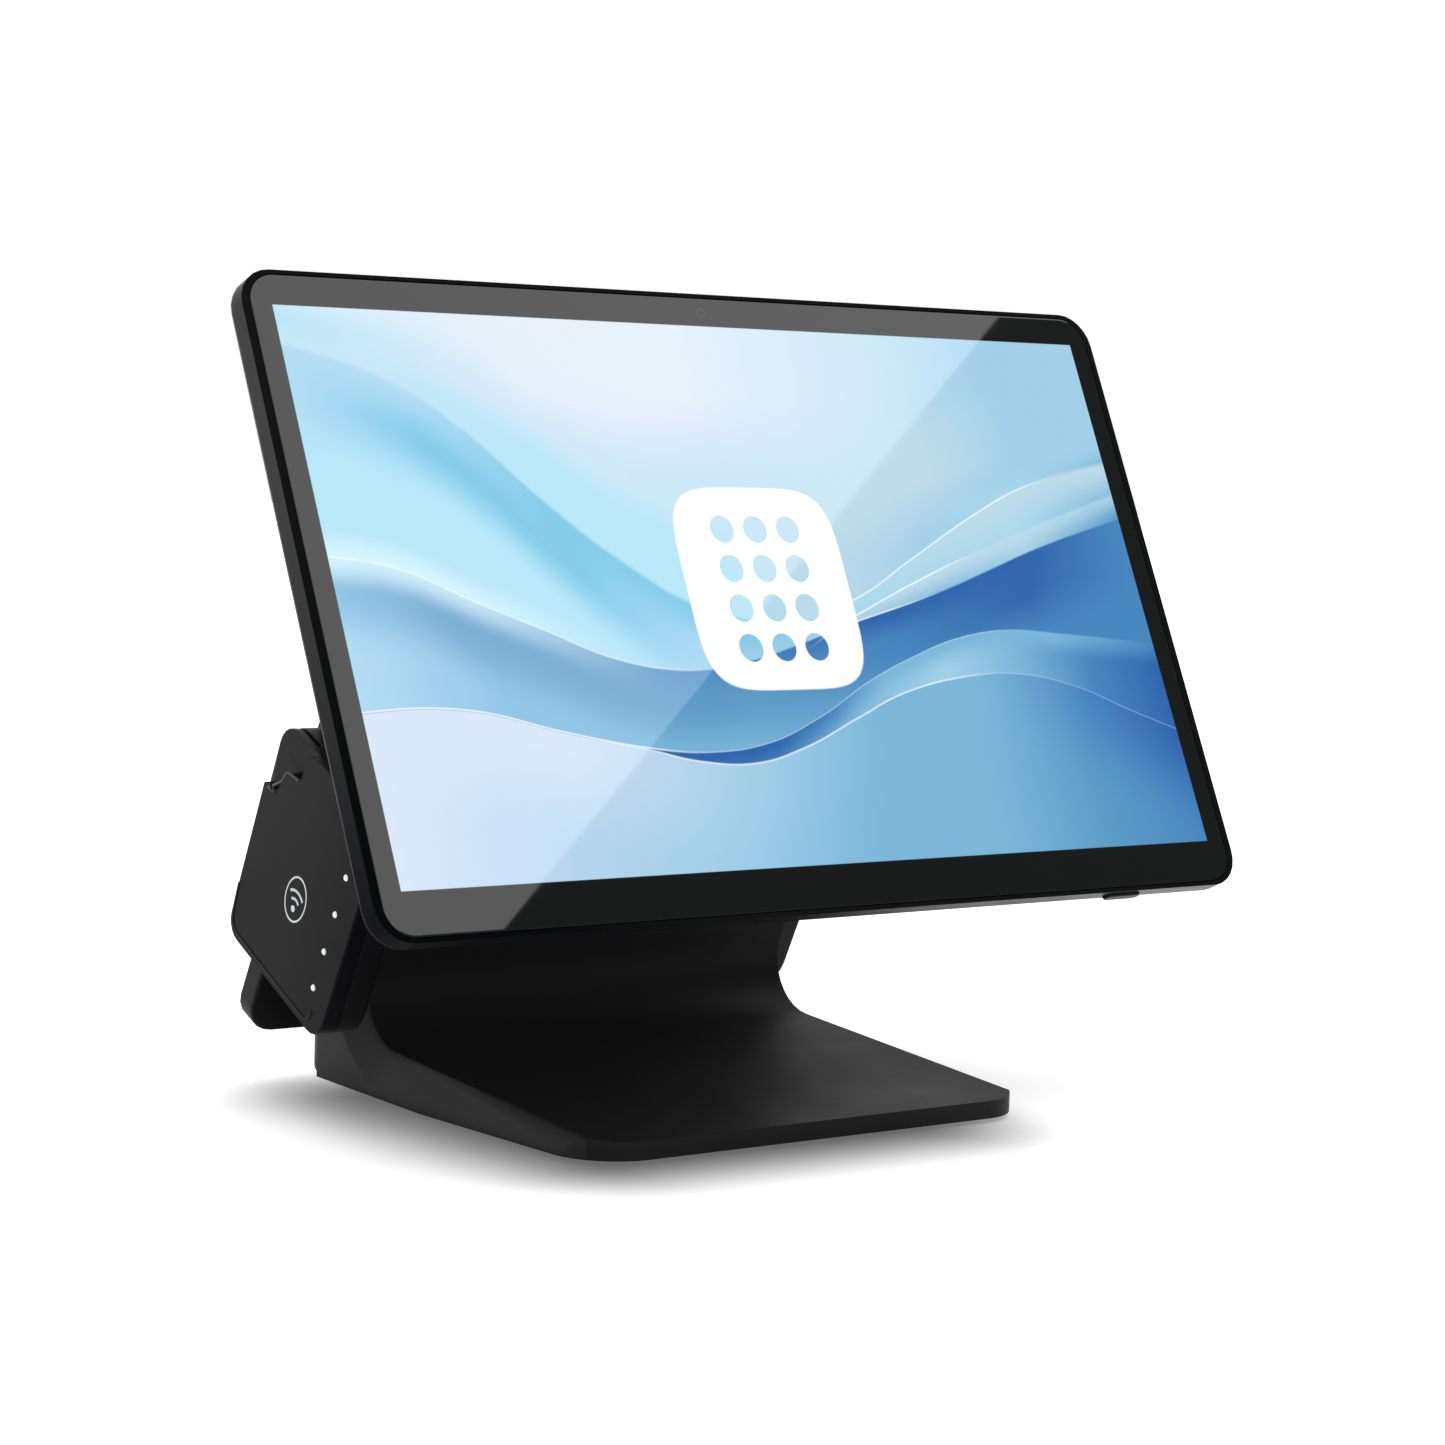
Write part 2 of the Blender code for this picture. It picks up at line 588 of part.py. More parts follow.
def make_head_hinge():
    plate_back = depth(HEAD_DEPTH + GAP)
    for side, s in (("left", -1), ("right", 1)):
        x0, x1 = sorted((s * 18, s * 56))
        plate = rounded(x0, x1, -32, 32, 4, 3)
        leaf = prism(f"hinge_leaf_{side}", "steel", HEAD, "Y", plate, plate_back, plate_back + 3)
        a0, a1 = sorted((s * 28.6, s * 40.6))
        arm = ((a0 + 0.4, a1 - 0.4), (plate_back + 2, 0), (-6.5, 6.5))
        add(leaf, block(f"arm_{side}", "steel", HEAD, *arm))
        knuckle = prism(f"head_knuckle_{side}", "steel", HEAD, "X", circle(0, 0, KNUCKLE_R), a0, a1)
        add(leaf, knuckle)
        cut(leaf, prism(f"leaf_bore_{side}", "steel", HEAD, "X", circle(0, 0, BORE_R), s * 20, s * 50))
        for row, z in (("top", 24), ("bottom", -24)):
            x = s * 48
            hole = circle(x, z, 1.9, 12)
            cut(leaf, prism(f"leaf_hole_{side}_{row}", "steel", HEAD, "Y", hole, -40, 0))
            head_start = plate_back + 3 + 1.9
            screw(
                f"leaf_screw_{side}_{row}", HEAD, "Y", x, z, head_start, plate_back + 3.1, plate_back + 0.15,
            )
        smooth(leaf)
        w0, w1 = s * 41.0, s * 43.4
        washer = prism(f"friction_washer_{side}", "steel", HEAD, "X", circle(0, 0, 6.8), w0, w1)
        cut(washer, prism(f"washer_bore_{side}", "steel", HEAD, "X", circle(0, 0, BORE_R), s * 38, s * 50))
        smooth(washer)
        nut = prism(f"hinge_nut_{side}", "steel", HEAD, "X", circle(0, 0, 6.6, 6), s * 43.7, s * 48.7)
        cut(nut, prism(f"nut_bore_{side}", "steel", HEAD, "X", circle(0, 0, BORE_R), s * 38, s * 55))
    smooth(prism("hinge_shaft", "steel", HEAD, "X", circle(0, 0, SHAFT_R), -50.5, 50.5))


# Customer display -----------------------------------------------------------------------------
def cd_outline(inset, radius, steps=5):
    return rounded(
        -CD_HALF_W + inset, CD_HALF_W - inset, CD_BOTTOM + inset, CD_TOP - inset, radius, steps
    )


def make_customer_display():
    front = CD_INNER + CD_T
    outline, eased = cd_outline(0, CD_CORNER), cd_outline(0.6, CD_CORNER - 0.6)
    tray = loft(
        "customer_shell", "shell_black", MAST, "Y",
        [(CD_INNER, eased), (CD_INNER + 0.6, outline), (front, outline)],
    )
    hollow = cd_outline(2.2, CD_CORNER - 2.2)
    cut(tray, prism("customer_hollow", "shell_black", MAST, "Y", hollow, CD_INNER + 2, front + 5))
    smooth(tray)
    glass = cd_outline(2.5, CD_CORNER - 2.5)
    smooth(prism("customer_glass", "glass_black", MAST, "Y", glass, front - 1.5, front))
    panel = cd_outline(4.5, CD_CORNER - 4.5, 3)
    smooth(prism("customer_panel", "panel", MAST, "Y", panel, front - 4.6, front - 1.8))
    block("customer_board", "board_green", MAST, (-50, 50), (CD_INNER + 2.4, CD_INNER + 3.6), (-120, -60))
    plate = rounded(-50, 50, -128, -42, 5, 3)
    mount = prism("customer_mount", "steel", MAST, "Y", plate, MAST_REAR + GAP, CD_INNER - GAP)
    cut(mount, prism("mount_window", "steel", MAST, "Y", rounded(-16, 16, -98, -72, 5, 3), 0, 20))
    smooth(mount)


# Card reader ----------------------------------------------------------------------------------
LED_Y = -46.7
LED_Z = (-59.5, -73.6, -87.9, -102.0)
LED_R = 1.15
HEAD_WINDOW_Z = -78.0
SLOT_WALL_Y = READER_REAR - SWIPE_DEPTH


def reader_outline(inset):
    corners = [
        (READER_FRONT, READER_FRONT_BOTTOM), (READER_REAR, READER_BOTTOM),
        (READER_REAR_TOP, READER_TOP), (READER_FRONT, READER_TOP),
    ]
    return rounded_corners(corners, READER_CORNER, inset)


def make_reader():
    make_reader_front()
    make_reader_rear()
    coil = rounded(-44, -12, -104, -42, 5, 3)
    antenna = prism("nfc_antenna", "copper", MAST, "X", coil, -136.6, -135.9)
    window = rounded(-39, -17, -99, -47, 2, 3)
    cut(antenna, prism("antenna_window", "copper", MAST, "X", window, -140, -130))
    block("reader_board", "board_green", MAST, (-128.6, -127.0), (-54, -10.5), (-110, -40))
    block("mag_head", "steel", MAG, (-0.7, 6.0), (-4.5, 4.5), (-6.0, 6.0))
    block("mag_head_spring", "steel", MAST, (-124.0, -123.7), (-5.4, 6.4), (-94, -62))
    make_reader_bracket()


def make_reader_front():
    front = loft(
        "reader_front", "reader_black", MAST, "X",
        [
            (READER_SPLIT - 0.3, reader_outline(0)),
            (READER_OUTER + 0.5, reader_outline(0)),
            (READER_OUTER, reader_outline(0.5)),
        ],
    )
    pocket = rounded(READER_FRONT + 2, SLOT_WALL_Y - 5, READER_BOTTOM + 2, READER_TOP - 6, 6, 4)
    cut(front, prism("front_pocket", "reader_black", MAST, "X", pocket, -137.2, -130))
    slot = ((READER_SPLIT - 0.3 - SWIPE_SLOT, -130), (SLOT_WALL_Y, 20), (READER_BOTTOM - 5, READER_TOP + 5))
    cut(front, block("swipe_slot", "reader_black", MAST, *slot))
    notch = [
        (25, -20), (25, -58.2), (6.9, -57.6), (3.6, -56.6), (2.2, -55.0), (1.4, -51.6),
        (0.6, -48.8), (-0.8, -47.3), (-3.6, -46.5), (-7.5, -46.1), (-8.8, -44.6),
        (-8.6, -36.4), (-12.4, -34.6), (-21, -33.9), (-22, -20),
    ]
    cut(front, prism("swipe_lead_in", "reader_black", MAST, "X", notch, -150, READER_OUTER + 2.6))
    for i, z in enumerate(LED_Z):
        hole = circle(LED_Y, z, LED_R + 0.25, 12)
        cut(front, prism(f"led_hole_{i}", "reader_black", MAST, "X", hole, -145, -136.5))
        sections = [
            (READER_OUTER - 0.25, circle(LED_Y, z, LED_R * 0.8, 12)),
            (READER_OUTER + 0.05, circle(LED_Y, z, LED_R, 12)),
            (-134.5, circle(LED_Y, z, LED_R, 12)),
        ]
        smooth(loft(f"led_lens_{i + 1}", "led_white", MAST, "X", sections))
    smooth(front)


def make_reader_rear():
    rear = loft(
        "reader_rear", "reader_black", MAST, "X",
        [
            (READER_SPLIT, reader_outline(0)),
            (READER_INNER - 3, reader_outline(0)),
            (READER_INNER, reader_outline(3)),
        ],
    )
    board_room = rounded(READER_FRONT + 2, SLOT_WALL_Y - 2, READER_BOTTOM + 2.5, READER_TOP - 3.5, 5, 4)
    cut(rear, prism("board_room", "reader_black", MAST, "X", board_room, -140, READER_INNER - 2))
    room = ((-131.0, READER_INNER - 1.5), (-5.7, 6.7), (HEAD_WINDOW_Z - 18, HEAD_WINDOW_Z + 18))
    window = ((-140, -125), (-5.0, 5.0), (HEAD_WINDOW_Z - 6.5, HEAD_WINDOW_Z + 6.5))
    cut(rear, block("head_window", "reader_black", MAST, *window))
    cut(rear, block("spring_room", "reader_black", MAST, *room))
    smooth(rear)


def make_reader_bracket():
    inner = READER_INNER + GAP
    side = -BASE_HALF_W - GAP
    plate = rounded(-42, 4, -102, -44, 4, 3)
    bracket = prism("reader_bracket", "steel", MAST, "X", plate, inner, inner + 2.5)
    add(bracket, block("bracket_arm", "steel", MAST, (inner + 1.5, side - 1), (-5.5, 3.0), (-94, -52)))
    add(bracket, block("bracket_foot", "steel", MAST, (side - 2.5, side), (-7.5, 5.0), (-106, -40)))
    smooth(bracket)


# The whole terminal ---------------------------------------------------------------------------
for old in list(bpy.data.objects):
    bpy.data.objects.remove(old)

HEAD = empty("display_hinge", (0, HINGE_Y, HINGE_Z), -TILT)
MAST = empty("mast_frame", (0, HINGE_Y, HINGE_Z), LEAN)
BUTTON_LOW = HEAD_LOW
BUTTON_AT = (BUTTON_X, depth(BUTTON_D), height(BUTTON_LOW))
BUTTON = empty("button_slide", BUTTON_AT, 0)
BUTTON.parent = HEAD
MAG = empty("mag_head_slide", (READER_SPLIT, 0, HEAD_WINDOW_Z), 0)
MAG.parent = MAST

make_stand()
make_spine()
make_head_front()
make_rear_cover()
make_ports()
make_electronics()
make_power_button()
make_head_hinge()
make_customer_display()
make_reader()
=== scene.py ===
"""Looks of the countertop touchscreen terminal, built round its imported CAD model.

Two frames stand at the tilt hinge. HEAD leans with the display, and MAST leans with the mast,
the customer display and the card reader. In both, lengths are in millimetres, x is to the
user's right, y is away from the user and z runs up the leaning part.
"""

import json
import math

import bmesh
import bpy
from mathutils import Matrix, Vector

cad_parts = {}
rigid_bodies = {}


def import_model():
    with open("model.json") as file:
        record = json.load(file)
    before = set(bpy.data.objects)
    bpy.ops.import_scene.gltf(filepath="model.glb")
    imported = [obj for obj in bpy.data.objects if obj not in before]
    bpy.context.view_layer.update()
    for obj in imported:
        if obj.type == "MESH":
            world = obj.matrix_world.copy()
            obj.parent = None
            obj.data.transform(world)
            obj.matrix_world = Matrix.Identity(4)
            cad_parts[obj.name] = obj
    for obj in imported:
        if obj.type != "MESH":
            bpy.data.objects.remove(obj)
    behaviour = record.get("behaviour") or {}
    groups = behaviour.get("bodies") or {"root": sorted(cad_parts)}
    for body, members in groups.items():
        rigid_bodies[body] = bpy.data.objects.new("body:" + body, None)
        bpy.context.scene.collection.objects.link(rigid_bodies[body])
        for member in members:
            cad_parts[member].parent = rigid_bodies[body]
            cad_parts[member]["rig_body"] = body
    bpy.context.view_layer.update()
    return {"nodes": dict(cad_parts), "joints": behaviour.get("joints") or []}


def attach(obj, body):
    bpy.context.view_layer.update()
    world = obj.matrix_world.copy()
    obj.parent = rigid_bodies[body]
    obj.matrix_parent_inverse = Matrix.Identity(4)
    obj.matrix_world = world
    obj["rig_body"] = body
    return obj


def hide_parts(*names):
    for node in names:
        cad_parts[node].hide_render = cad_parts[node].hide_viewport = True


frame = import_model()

MM = 0.001
NODES = frame["nodes"]
JOINTS = {joint["name"]: joint for joint in frame["joints"]}
HINGE = Vector(JOINTS["display_tilt"]["pos_m"])
TILT = math.radians(25)  # the display leans back and the mast leans forward by this much
HEAD = Matrix.Translation(HINGE) @ Matrix.Rotation(-TILT, 4, "X")
MAST = Matrix.Translation(HINGE) @ Matrix.Rotation(TILT, 4, "X")

# The display, in HEAD.
PICTURE_W = 344.2
PICTURE_H = 193.6
PICTURE_LOW = -101.9
GLASS_FRONT = -62.3
GLASS_T = 1.8
GLASS_EDGE_R = 0.35
GLASS_CORNER = 10.3
BORDER_SIDE = 7.9
BORDER_ABOVE = 10.7
BORDER_BELOW = 14.8
WEBCAM_UP = 199.0  # above the foot of the picture
WEBCAM_LENS_R = 0.7
WEBCAM_RING = (1.3, 1.6)
TILE_HALF_W = 35.0
TILE_HALF_H = 36.4
TILE_UP = 97.5  # the tile's centre above the foot of the picture
TILE_SHIFT = 0.1  # and to the left of its middle
TILE_POWER = 4.6  # of the superellipse
KEY_PITCH = 14.2
KEY_R = 5.0
FRAME_DULL_X = (-160, -20)  # the frame is duller left of these places
FRAME_DULL_Z = (-117, 88)  # and below these heights

# The card reader's face, in MAST.
FACE_X = -139.0
FACE_DULL_Y = (-56, -20)  # it is duller in front of these places
SIGN_Y = -24.0
SIGN_Z = -82.0
SIGN_RING = (6.0, 6.45)
SIGN_RING_SQUASH = 0.8  # its width over its height
SIGN_ARCS = ((3.1, 3.9), (5.9, 6.7))  # radii round the dot
SIGN_FAN = 0.85  # how far the arcs reach to each side at a height of 1
SIGN_DOT_R = 1.1
SIGN_DOT_DOWN = 3.6
PRINT_EDGE = 0.12

# The picture area of the customer display, in MAST.
CUSTOMER_HALF_W = 110.5
CUSTOMER_HALF_H = 70.0
CUSTOMER_MIDDLE = -79.3

# The stand, in the part's own frame.
FOOT_SIDE_X = (91.1, 91.8)  # between these the top of the foot becomes its side
MAST_DULL_Z = (16, 44)  # between these heights the front grows duller

# Materials.
GRAIN_DEPTH = 0.00003  # metres
MOTTLING = (28, 3)  # scale and detail of the noise that varies a plastic's colour
HANDLING = (14, 4)  # and of the patches where hands have changed its gloss
SMEARS = (11, 5)  # and of the smears on glass


# Shader helpers -------------------------------------------------------------------------------
class Tree:
    """Short names for adding and joining the nodes of one material."""

    def __init__(self, name):
        self.material = bpy.data.materials.new(name)
        self.material.use_nodes = True
        self.tree = self.material.node_tree
        self.shader = self.tree.nodes["Principled BSDF"]

    def node(self, kind, **settings):
        made = self.tree.nodes.new("ShaderNode" + kind)
        for key, value in settings.items():
            setattr(made, key, value)
        return made

    def feed(self, socket, value):
        if isinstance(value, bpy.types.NodeSocket):
            self.tree.links.new(value, socket)
        else:
            socket.default_value = value

    def math(self, operation, a, b=0.0):
        made = self.node("Math", operation=operation)
        self.feed(made.inputs[0], a)
        self.feed(made.inputs[1], b)
        return made.outputs[0]

    def mix(self, factor, a, b):
        made = self.node("Mix", data_type="RGBA")
        self.feed(made.inputs["Factor"], factor)
        self.feed(made.inputs[6], a)
        self.feed(made.inputs[7], b)
        return made.outputs[2]

    def step(self, value, low, high):
        """0 where value is low and 1 where it is high, smooth between them."""
        made = self.node("MapRange", interpolation_type="SMOOTHSTEP")
        for socket, number in zip(made.inputs, (value, low, high, 0.0, 1.0)):
            self.feed(socket, number)
        return made.outputs[0]

    def ramp(self, value, stops):
        made = self.node("ValToRGB")
        elements = made.color_ramp.elements
        while len(elements) < len(stops):
            elements.new(0.5)
        for element, (place, colour) in zip(elements, stops):
            element.position = place
            element.color = (*colour, 1.0)
        self.feed(made.inputs[0], value)
        return made.outputs[0]

    def curve(self, value, points):
        """A smooth curve through (place, height) points, both from 0 to 1."""
        made = self.node("FloatCurve")
        shape = made.mapping.curves[0].points
        shape[0].location, shape[-1].location = points[0], points[-1]
        for point in points[1:-1]:
            shape.new(*point)
        made.mapping.update()
        self.feed(made.inputs["Value"], value)
        return made.outputs[0]

    def scaled(self, value, factor, offset=0.0):
        made = self.node("Math", operation="MULTIPLY_ADD")
        for socket, number in zip(made.inputs, (value, factor, offset)):
            self.feed(socket, number)
        return made.outputs[0]

    def inside(self, value, low, high, edge):
        """1 between low and high, falling to 0 over the width of an edge."""
        above_high = self.step(value, high, high + edge)
        return self.math("MULTIPLY", self.step(value, low - edge, low), self.rest(above_high))

    def rest(self, share):
        """What is left of 1."""
        return self.math("SUBTRACT", 1.0, share)

    def length(self, a, b):
        squares = [self.math("MULTIPLY", value, value) for value in (a, b)]
        return self.math("SQRT", self.math("ADD", *squares))

    def axes(self):
        """The object's own coordinates in millimetres."""
        made = self.node("SeparateXYZ")
        self.feed(made.inputs[0], self.coordinates())
        return [self.scaled(made.outputs[i], 1000.0) for i in range(3)]

    def coordinates(self):
        return self.node("TexCoord").outputs["Object"]

    def noise(self, scale, detail=2.0, where=None):
        made = self.node("TexNoise")
        made.inputs["Scale"].default_value = scale
        made.inputs["Detail"].default_value = detail
        self.feed(made.inputs["Vector"], where or self.coordinates())
        return made.outputs[0]

    def mottled(self, dark, light):
        return self.mix(self.noise(*MOTTLING), dark, light)

    def handled(self, rough):
        """Roughness that is higher in patches."""
        return self.scaled(self.step(self.noise(*HANDLING), 0.35, 0.7), 0.10, rough)

    def bump(self, height, strength):
        made = self.node("Bump")
        made.inputs["Strength"].default_value = strength
        made.inputs["Distance"].default_value = GRAIN_DEPTH
        self.feed(made.inputs["Height"], height)
        self.feed(self.shader.inputs["Normal"], made.outputs[0])

    def set(self, **values):
        for key, value in values.items():
            self.feed(self.shader.inputs[key.replace("_", " ")], value)
        return self


def shades(colour, spread):
    """A darker and a lighter version of a colour."""
    return [(*(c * (1 + k * spread) for c in colour), 1.0) for k in (-1, 1)]


def plastic(name, colour, roughness, grain, grain_size, specular):
    """Moulded plastic: a fine sparked grain, uneven gloss from handling and faint mottling."""
    t = Tree(name)
    t.set(Base_Color=t.mottled(*shades(colour, 0.10)))
    t.set(Roughness=t.handled(roughness - 0.05), Specular_IOR_Level=specular)
    t.bump(t.noise(1000 / grain_size, 2), grain)
    return t.material


def metal(name, colour, roughness, stretch=(1, 1, 40), scale=60):
    """Metal with fine noise in its colour, gloss and height, which stretch draws into lines."""
    t = Tree(name)
    mapping = t.node("Mapping")
    mapping.inputs["Scale"].default_value = stretch
    t.feed(mapping.inputs["Vector"], t.coordinates())
    lines = t.noise(scale, 4, mapping.outputs[0])
    t.set(Base_Color=t.mix(lines, *shades(colour, 0.12)), Metallic=1.0)
    t.set(Roughness=t.scaled(lines, 0.18, roughness - 0.09))
    t.bump(lines, 0.25)
    return t.material


def circuit_board(name):
    """Green solder mask over copper tracks, with bright pads on a grid."""
    t = Tree(name)
    cells = t.node("TexBrick")
    cells.inputs["Scale"].default_value = 90
    t.feed(cells.inputs["Vector"], t.coordinates())
    tracks = t.step(t.noise(420, 1), 0.47, 0.53)
    mask = t.mix(tracks, (0.006, 0.07, 0.03, 1), (0.012, 0.13, 0.055, 1))
    pads = t.step(cells.outputs["Fac"], 0.2, 0.8)
    t.set(Base_Color=t.mix(t.math("MULTIPLY", pads, 0.35), mask, (0.55, 0.45, 0.25, 1)))
    t.set(Roughness=t.step(tracks, -0.6, 2.2))
    t.bump(tracks, 0.3)
    return t.material


# The picture on the display: overlapping sheets of blue, each below its own smooth edge. An edge
# is a list of (place, height), which are shares of the picture's width and height. Colours are
# linear.
CLOUD = (0.69, 0.77, 0.85)
PALE = (0.50, 0.70, 0.81)
ICE = (0.60, 0.71, 0.86)
AQUA = (0.38, 0.70, 0.84)
LIGHT = (0.35, 0.62, 0.80)
CYAN = (0.13, 0.50, 0.73)
MIDDLE = (0.19, 0.46, 0.69)
SLATE = (0.10, 0.32, 0.56)
BLUE = (0.055, 0.23, 0.51)
DEEP = (0.020, 0.12, 0.41)
FROST = (0.50, 0.66, 0.84)
GLOW = (0.62, 0.84, 0.92, 1.0)
GLINT = (0.95, 0.98, 1.0, 1.0)
SKY = [(0.0, CLOUD), (0.45, CLOUD), (0.72, PALE), (0.86, LIGHT), (1.0, LIGHT)]
HAZE = [
    (0.0, 1.0), (0.18, 0.97), (0.28, 0.88), (0.39, 0.82), (0.50, 0.82), (0.61, 0.83), (0.72, 0.88),
    (1.0, 1.0),
]
RIBBON = [
    (0.0, 0.93), (0.11, 0.87), (0.18, 0.785), (0.25, 0.665), (0.33, 0.55), (0.41, 0.47),
    (0.52, 0.44), (0.61, 0.485), (0.69, 0.555), (0.80, 0.65), (0.87, 0.70), (1.0, 0.755),
]
VEIL = [
    (0.0, 1.0), (0.15, 0.93), (0.25, 0.835), (0.34, 0.73), (0.43, 0.67), (0.60, 0.62), (0.80, 0.72),
    (1.0, 0.80),
]
FOLD = [
    (0.0, 0.30), (0.40, 0.30), (0.60, 0.45), (0.70, 0.52), (0.80, 0.582), (0.87, 0.622),
    (1.0, 0.69),
]
CREST = [
    (0.0, 0.56), (0.07, 0.54), (0.15, 0.48), (0.22, 0.43), (0.29, 0.38), (0.36, 0.357),
    (0.42, 0.36), (0.60, 0.44), (0.73, 0.50), (0.80, 0.54), (0.87, 0.58), (1.0, 0.64),
]
SWELL = [
    (0.0, 0.295), (0.11, 0.295), (0.22, 0.25), (0.305, 0.22), (0.38, 0.208), (0.45, 0.22),
    (0.52, 0.262), (0.60, 0.33), (0.655, 0.367), (0.73, 0.406), (0.80, 0.42), (0.87, 0.412),
    (1.0, 0.39),
]
TROUGH = [
    (0.0, 0.293), (0.11, 0.293), (0.22, 0.248), (0.305, 0.217), (0.365, 0.192), (0.43, 0.185),
    (0.495, 0.21), (0.57, 0.26), (0.64, 0.305), (0.73, 0.333), (0.80, 0.335), (0.87, 0.31),
    (0.945, 0.257), (1.0, 0.22),
]
# From the furthest sheet to the nearest: (edge, softness, [(depth below it, [(place, colour)])]).
SHEETS = (
    (HAZE, 0.11, [
        (0.0, [
            (0.0, AQUA), (0.25, CLOUD), (0.45, ICE), (0.70, PALE), (0.86, LIGHT), (1.0, LIGHT),
        ]),
        (0.12, [
            (0.0, AQUA), (0.25, PALE), (0.55, PALE), (0.75, PALE), (0.88, LIGHT), (1.0, LIGHT),
        ]),
    ]),
    (VEIL, 0.06, [
        (0.0, [
            (0.0, AQUA), (0.20, ICE), (0.40, PALE), (0.62, PALE), (0.85, LIGHT), (1.0, LIGHT),
        ]),
        (0.09, [
            (0.0, PALE), (0.25, AQUA), (0.42, AQUA), (0.55, PALE), (0.72, LIGHT), (0.88, AQUA),
            (1.0, SLATE),
        ]),
    ]),
    (RIBBON, 0.014, [
        (0.0, [
            (0.0, LIGHT), (0.13, LIGHT), (0.25, CYAN), (0.42, CYAN), (0.60, AQUA), (0.80, PALE),
            (1.0, PALE),
        ]),
        (0.09, [
            (0.0, LIGHT), (0.13, CYAN), (0.28, CYAN), (0.42, LIGHT), (0.60, LIGHT), (0.85, AQUA),
            (1.0, MIDDLE),
        ]),
        (0.20, [
            (0.0, AQUA), (0.15, AQUA), (0.30, AQUA), (0.45, LIGHT), (0.60, LIGHT), (0.80, LIGHT),
            (1.0, SLATE),
        ]),
    ]),
    (FOLD, 0.006, [
        (0.0, [(0.55, LIGHT), (0.70, PALE), (0.85, PALE), (1.0, LIGHT)]),
        (0.05, [(0.55, SLATE), (0.70, MIDDLE), (0.85, LIGHT), (1.0, SLATE)]),
    ]),
    (CREST, 0.005, [
        (0.0, [
            (0.0, LIGHT), (0.12, SLATE), (0.30, SLATE), (0.45, BLUE), (0.62, DEEP), (0.86, DEEP),
            (1.0, BLUE),
        ]),
        (0.06, [
            (0.0, MIDDLE), (0.12, SLATE), (0.28, SLATE), (0.45, SLATE), (0.62, BLUE),
            (0.84, DEEP), (1.0, BLUE),
        ]),
        (0.17, [
            (0.0, LIGHT), (0.16, MIDDLE), (0.28, MIDDLE), (0.42, MIDDLE), (0.60, SLATE),
            (0.85, BLUE), (1.0, BLUE),
        ]),
    ]),
    (SWELL, 0.004, [
        (0.0, [
            (0.28, DEEP), (0.46, DEEP), (0.54, BLUE), (0.62, MIDDLE), (0.86, MIDDLE),
            (1.0, BLUE),
        ]),
        (0.05, [
            (0.28, DEEP), (0.46, BLUE), (0.56, MIDDLE), (0.70, LIGHT), (0.80, MIDDLE),
            (0.90, BLUE), (1.0, DEEP),
        ]),
    ]),
    (TROUGH, 0.004, [
        (0.0, [
            (0.0, ICE), (0.22, ICE), (0.42, LIGHT), (0.60, MIDDLE), (0.74, MIDDLE), (0.88, BLUE),
            (1.0, DEEP),
        ]),
        (0.22, [
            (0.0, ICE), (0.12, FROST), (0.35, LIGHT), (0.56, MIDDLE), (0.72, MIDDLE),
            (0.86, SLATE), (1.0, BLUE),
        ]),
    ]),
)
# The fine bright lines along the edges: (edge, first and last place, thickness, strength).
GLINTS = (
    (RIBBON, (0.62, 0.84), 0.0030, 0.80), (FOLD, (0.62, 0.70), 0.0030, 0.85),
    (CREST, (-0.10, 0.34), 0.0035, 0.40), (CREST, (0.60, 0.64), 0.0030, 0.70),
    (SWELL, (-0.10, 0.30), 0.0030, 0.75), (SWELL, (0.40, 0.75), 0.0020, 0.35),
    (TROUGH, (0.34, 0.68), 0.0030, 0.70), (TROUGH, (0.75, 1.10), 0.0020, 0.22),
)


def wallpaper(t, across, up):
    """Blue waves. Both coordinates run from 0 to 1 over the picture."""
    colour = t.ramp(across, SKY)
    for edge, softness, bands in SHEETS:
        below = t.math("SUBTRACT", t.curve(across, edge), up)
        look = t.ramp(across, bands[0][1])
        for (near, _), (far, stops) in zip(bands, bands[1:]):
            look = t.mix(t.step(below, near, far), look, t.ramp(across, stops))
        colour = t.mix(t.step(below, -softness / 2, softness / 2), colour, look)
    # A glow over the left part of the crest.
    above = t.math("SUBTRACT", up, t.curve(across, CREST))
    left = t.inside(across, -0.2, 0.10, 0.25)
    glow = t.math("MULTIPLY", t.inside(above, 0.0, 0.004, 0.055), left)
    colour = t.mix(t.math("MULTIPLY", glow, 0.75), colour, GLOW)
    for edge, (first, last), thickness, strength in GLINTS:
        away = t.math("ABSOLUTE", t.math("SUBTRACT", t.curve(across, edge), up))
        line = t.rest(t.step(away, 0.0, thickness))
        shown = t.math("MULTIPLY", line, t.inside(across, first, last, 0.10))
        colour = t.mix(t.math("MULTIPLY", shown, strength), colour, GLINT)
    return colour


